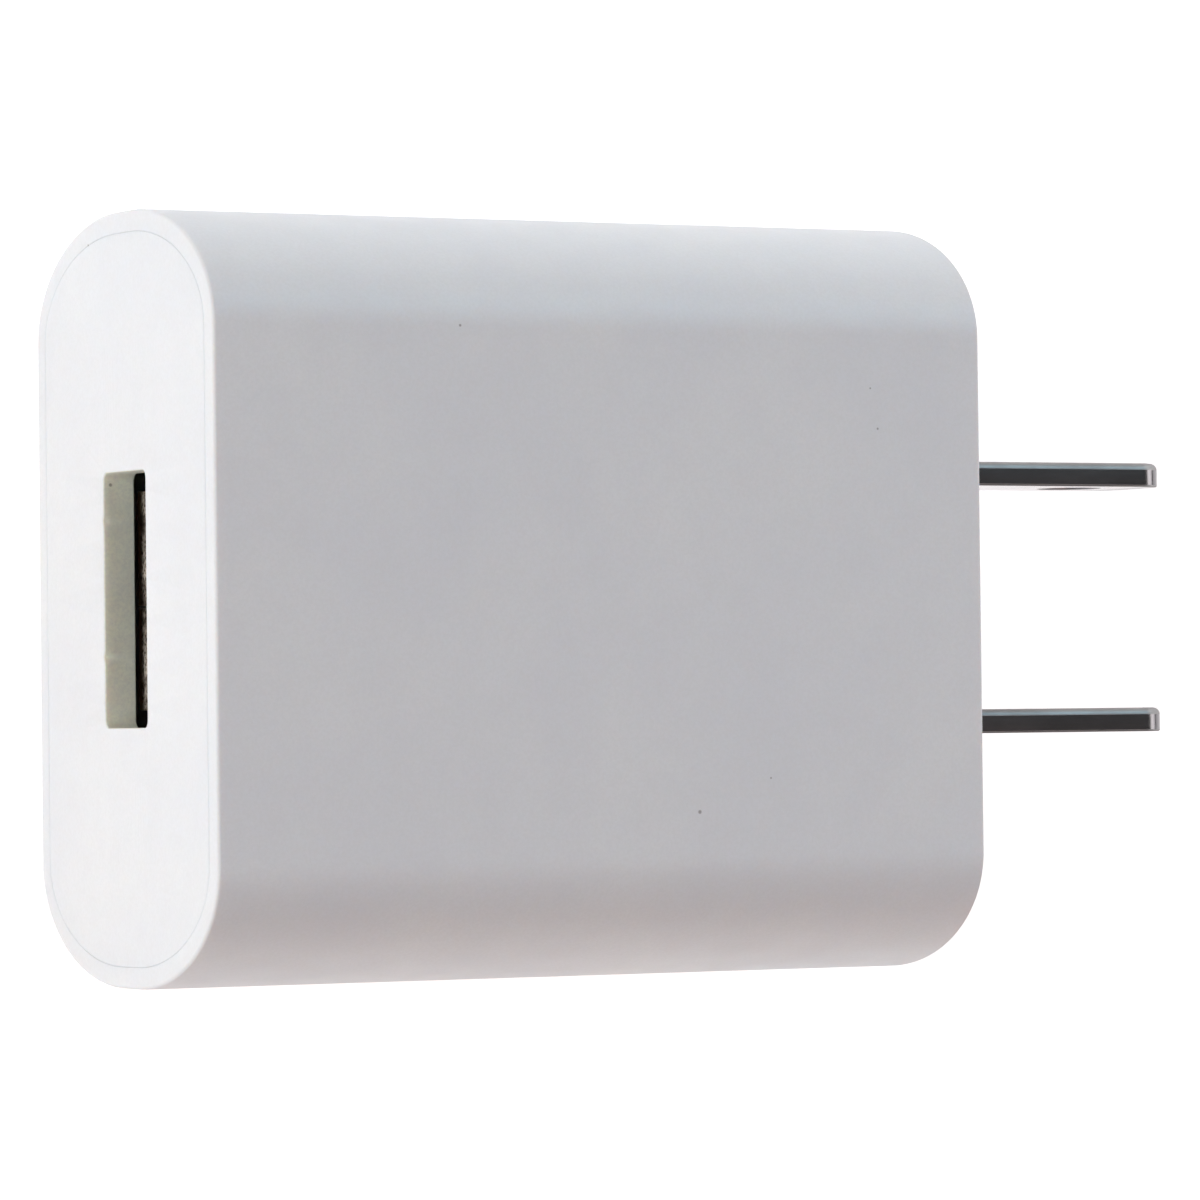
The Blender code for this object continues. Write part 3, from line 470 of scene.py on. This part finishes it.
def make_housing():
    """The sleeve with its rear wall, from inside the rebate round the rim to the wall face."""
    inside = ((-REAR_WALL, WALL), (REBATE_FLOOR, WALL), (REBATE_FLOOR, RIM))
    rings = [housing_ring(y, inset) for y, inset in inside]
    for s, c in quarter_turn(SEAM_STEPS):
        rings.append(housing_ring(FRONT + SEAM_DEPTH * (1 - s), RIM - SEAM_EDGE * (1 - c)))
    for s, c in quarter_turn(EDGE_STEPS):
        rings.append(housing_ring(FRONT + EDGE * (1 - c), EDGE * (1 - s)))
    for share in SLEEVE_RINGS:
        rings.append(housing_ring(FRONT * (1 - share), 0))
    for s, c in quarter_turn(EDGE_STEPS):
        rings.append(housing_ring(-REAR_EDGE * (1 - s), REAR_EDGE * (1 - c)))
    housing = loft("housing", rings)
    half, tall = BLADE_THICKNESS / 2 + SLOT_CLEARANCE, BLADE_WIDTH / 2 + SLOT_CLEARANCE
    sides = (-BLADE_X, BLADE_X)
    slots = [box("slot", (x - half, x + half), SLOT_ENDS, (-tall, tall)) for x in sides]
    cut(housing, *slots)
    dress(housing, "white_plastic", "charger", ("housing_shell",))


# Small dents in the port's lower edge, as (x, width, depth)
NICKS = (
    (-3.87, 0.30, 0.10),
    (2.74, 0.34, 0.12),
    (1.33, 0.18, 0.04),
    (5.1, 0.6, 0.03),
    (-0.9, 1.1, 0.02),
)
NICK_NARROWING = 4  # how quickly a dent dies out beside its middle
NICKS_BELOW = -2.3  # z under which the outline takes the dents
PORT_CORNER_STEPS, PORT_SIDE_STEPS = 6, 90
PORT_EDGE, PORT_EDGE_STEPS = 0.10, 4
NICKS_FADE_FROM, NICKS_END = 0.3, 0.5  # depths behind the front
COLLAR, COLLAR_EDGE = 0.16, 0.04  # how far the port's walls run on behind the plate
PORT_WALL_REACH = (0.51, 0.53)  # shares of the port's size that hold its walls, which take the painted light
PORT_WALL_FROM = 0.02  # depth behind the front where the walls' painted light starts


def port_ring(y, grow, worn=0.0):
    """The port's outline, grown outwards. Where worn is 1, its lower edge has the full dents."""
    corner, steps = (PORT_CORNER, PORT_CORNER), (PORT_CORNER_STEPS, PORT_SIDE_STEPS)
    points = []
    for p in rounded_ring(PORT_WIDTH, PORT_HEIGHT, corner, -grow, *steps):
        dent = 0.0
        if p.y < NICKS_BELOW:
            for x, wide, deep in NICKS:
                dent += deep * math.exp(-(((p.x - x) / wide) ** 2) * NICK_NARROWING)
        points.append((p.x, y, p.y - worn * dent))
    return points


def make_front_plate():
    """The inset plate, flush with the rim, and the port's moulded edge."""
    outer = RIM + SEAM_GAP
    outer_rings = [housing_ring(CAP_BACK, outer)]
    for s, c in quarter_turn(SEAM_STEPS):
        y = FRONT + SEAM_DEPTH * (1 - s)
        outer_rings.append(housing_ring(y, outer + SEAM_EDGE * (1 - c)))
    inner_rings = []
    for s, c in quarter_turn(PORT_EDGE_STEPS):
        inner_rings.append(port_ring(FRONT + PORT_EDGE * (1 - c), PORT_EDGE * (1 - s), 1.0))
    inner_rings.append(port_ring(FRONT + NICKS_FADE_FROM, 0, 0.5))
    inner_rings.append(port_ring(FRONT + NICKS_END, 0))
    inner_rings.append(port_ring(CAP_BACK + COLLAR - COLLAR_EDGE, 0))
    inner_rings.append(port_ring(CAP_BACK + COLLAR, COLLAR_EDGE))
    plate = plate_between("front_plate", outer_rings, inner_rings)
    dress(plate, "white_plastic", "charger", ("front_cap",))
    # The port's inner walls take the brighter plastic: painted light in the recess.
    plate.data.materials.append(PORT_WALL_PAINTED_LIGHT)
    reach_x = PORT_WIDTH * PORT_WALL_REACH[0] * MM
    reach_z = PORT_HEIGHT * PORT_WALL_REACH[1] * MM
    for face in plate.data.polygons:
        x, y, z = face.center
        if abs(x) < reach_x and abs(z) < reach_z and y > (FRONT + PORT_WALL_FROM) * MM:
            face.material_index = 1


make_housing()
make_front_plate()


# ------------------------------------------------------------------ blades
TIP_STEPS, HOLE_STEPS = 10, 36
STAMPED_EDGE, STAMPED_EDGE_STEPS = 0.36, 5
CRISP_SHARE = 0.3  # the crisp edges' width, as a share of the soft one's
BLADE_SMOOTH_ANGLE = 30
SHADED_EDGE_FROM, SHADED_EDGE_TO = 0.1, 0.98  # how far an edge face with painted shade may look along X


def blade_outline():
    """The blade's outline as points (y, z)."""
    half = BLADE_WIDTH / 2
    radius = BLADE_TIP_CORNER
    points = []
    for s, c in quarter_turn(TIP_STEPS):
        points.append((BLADE_LENGTH - radius + radius * c, half - radius + radius * s))
    points.append((BLADE_ROOT, half))
    return points + [(y, -z) for y, z in points[::-1]]


def blade_hole():
    """The hole's outline as points (y, z)."""
    angles = [math.radians(360 * step / HOLE_STEPS) for step in range(HOLE_STEPS)]
    radius = BLADE_HOLE_RADIUS
    return [(BLADE_HOLE_AT + radius * math.cos(a), radius * math.sin(a)) for a in angles]


def make_blade(name, x, node):
    """A stamped blade: its left face has a soft edge, its right face and its hole crisp ones."""
    bm = bmesh.new()
    outlines = (blade_outline(), blade_hole())
    half = BLADE_THICKNESS / 2
    sides = []
    for at in (x - half, x + half):
        loops = [add_points(bm, [(at, y, z) for y, z in points]) for points in outlines]
        edges = [bm.edges.new((loop[i - 1], loop[i])) for loop in loops for i in range(len(loop))]
        bmesh.ops.triangle_fill(bm, use_beauty=True, edges=edges)
        sides.append(loops)
    for low, high in zip(*sides):
        for i in range(len(low)):
            bm.faces.new((low[i - 1], low[i], high[i], high[i - 1]))
    bmesh.ops.recalc_face_normals(bm, faces=bm.faces)
    weight = bm.edges.layers.float.new("bevel_weight_edge")
    for side, loops in enumerate(sides):
        for part, loop in enumerate(loops):
            for i in range(len(loop)):
                edge = bm.edges.get((loop[i - 1], loop[i]))
                edge[weight] = CRISP_SHARE if part or side else 1.0
    blade = make_object(name, bm)
    bevel = blade.modifiers.new("bevel", "BEVEL")
    bevel.limit_method = "WEIGHT"
    bevel.width = STAMPED_EDGE * MM
    bevel.segments = STAMPED_EDGE_STEPS
    apply_modifiers(blade)
    dress(blade, "nickel", "charger", (node,), BLADE_SMOOTH_ANGLE, flat_axis=0)
    # The rounded edge faces take the darker plating: painted shade on the edges.
    blade.data.materials.append(EDGE_PAINTED_SHADE)
    for face in blade.data.polygons:
        if SHADED_EDGE_FROM < abs(face.normal.x) < SHADED_EDGE_TO:
            face.material_index = 1


make_blade("blade_metal_left", -BLADE_X, "blade_left")
make_blade("blade_metal_right", BLADE_X, "blade_right")


# ------------------------------------------------------------------ floor and light
# Sizes, places and powers from here on are in metres and watts
FLOOR_HALF = 3.0
FLOOR_GLOW, FLOOR_GLOW_COLOUR = 0.56, (1.0, 0.955, 0.945, 1.0)
WORLD_STRENGTH, WORLD_COLOUR = 0.03, (0.95, 0.97, 1.0, 1.0)
LIGHT_TARGET = (0, -0.02, 0)
# Soft lights, as (name, place, size, power, colour)
LIGHTS = (
    ("front_softbox", (0.05, -0.58, 0.20), (0.6, 0.35), 2.48, (0.95, 1.0, 0.985)),
    ("left_softbox", (-0.55, 0.0, 0.12), (0.4, 0.2), 0.70, (1.0, 0.90, 0.82)),
    ("cool_softbox", (-0.36, 0.25, 0.47), (0.3, 0.3), 1.14, (0.47, 0.82, 1.0)),
    ("warm_softbox", (0.18, 0.04, 0.63), (0.3, 0.3), 1.15, (1.0, 0.72, 0.64)),
    ("rear_softbox", (-0.05, 0.26, 0.09), (0.4, 0.10), 0.36, (1.0, 0.98, 0.97)),
)


def make_floor():
    """A pale floor that glows a little, so that it stays white without harsh light."""
    n = Nodes("floor")
    tone = n.ramp(n.noise(60.0, 3.0), 0.3, 0.7)
    n.shader.inputs["Emission Color"].default_value = FLOOR_GLOW_COLOUR
    n.shader.inputs["Emission Strength"].default_value = FLOOR_GLOW
    base = n.mix(tone, (0.90, 0.90, 0.90), (0.92, 0.92, 0.92))
    n.finish(Base_Color=base, Roughness=0.85)
    bm = bmesh.new()
    bmesh.ops.create_grid(bm, x_segments=1, y_segments=1, size=FLOOR_HALF)
    floor = make_object("floor", bm)
    floor.location.z = -HEIGHT / 2 * MM
    floor.data.materials.append(n.material)


def area_light(name, place, size, power, colour):
    data = bpy.data.lights.new(name, "AREA")
    data.shape = "RECTANGLE"
    data.size, data.size_y = size
    data.energy = power
    data.color = colour
    lamp = link(bpy.data.objects.new(name, data))
    lamp.location = place
    aim = Vector(LIGHT_TARGET) - Vector(place)
    lamp.rotation_euler = aim.to_track_quat("-Z", "Y").to_euler()


def make_light():
    world = bpy.data.worlds.new("studio")
    bpy.context.scene.world = world
    world.use_nodes = True
    background = world.node_tree.nodes["Background"]
    background.inputs["Color"].default_value = WORLD_COLOUR
    background.inputs["Strength"].default_value = WORLD_STRENGTH
    for light in LIGHTS:
        area_light(*light)


make_floor()
make_light()

bpy.context.scene.view_settings.view_transform = "Standard"
